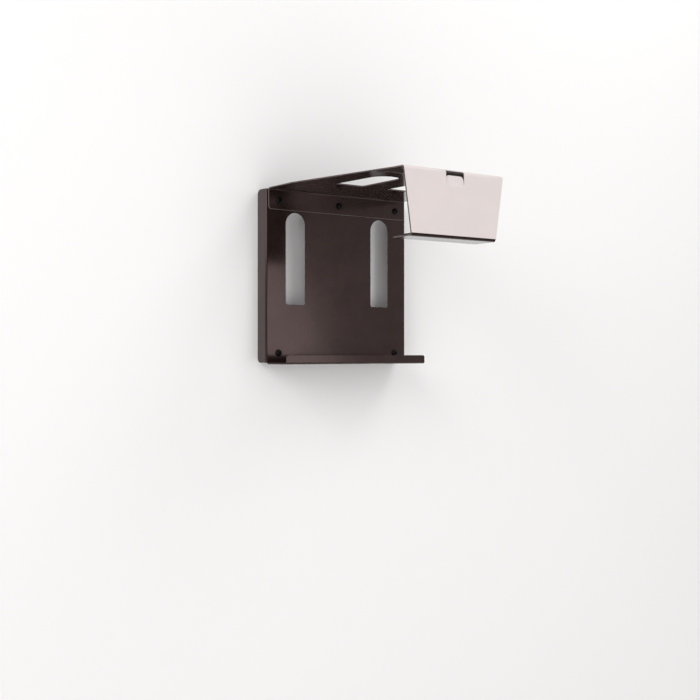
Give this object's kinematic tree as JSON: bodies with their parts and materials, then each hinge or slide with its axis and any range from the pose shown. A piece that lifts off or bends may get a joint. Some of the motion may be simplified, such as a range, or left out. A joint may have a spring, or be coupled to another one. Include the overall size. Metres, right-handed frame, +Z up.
{
  "type": "bicycle wall rack",
  "caption": "Black folded-steel bicycle wall rack with shoe slots and shelf, a tapering helmet tray, and a hooked front arm under an off-white lift-off cover.",
  "frame": {"origin": "centre of the four wall-screw holes, on the wall plane", "axes": "+X to the right along the wall, +Y into the wall, +Z up"},
  "size_m": [0.36, 0.4048, 0.3603],
  "materials": {
    "black_coat": "satin powder coat",
    "white_coat": "matt powder coat",
    "pad_rubber": "matt",
    "zinc_steel": "zinc plated",
    "black_bolt": "black oxide"
  },
  "bodies": {
    "rack": {"wall_plate": "black_coat", "arm": "black_coat", "hook_pad": "pad_rubber", "front_pad": "pad_rubber", "wall_spacers": "zinc_steel", "arm_bolt": "black_bolt", "arm_washer": "zinc_steel", "arm_nut": "zinc_steel"},
    "cover": {"front_cover": "white_coat"}
  },
  "joints": [
    {"name": "cover_lift", "type": "slide", "parent": "rack", "child": "cover", "axis": [0, 0, 1], "range_m": [0, 0.04]}
  ]
}
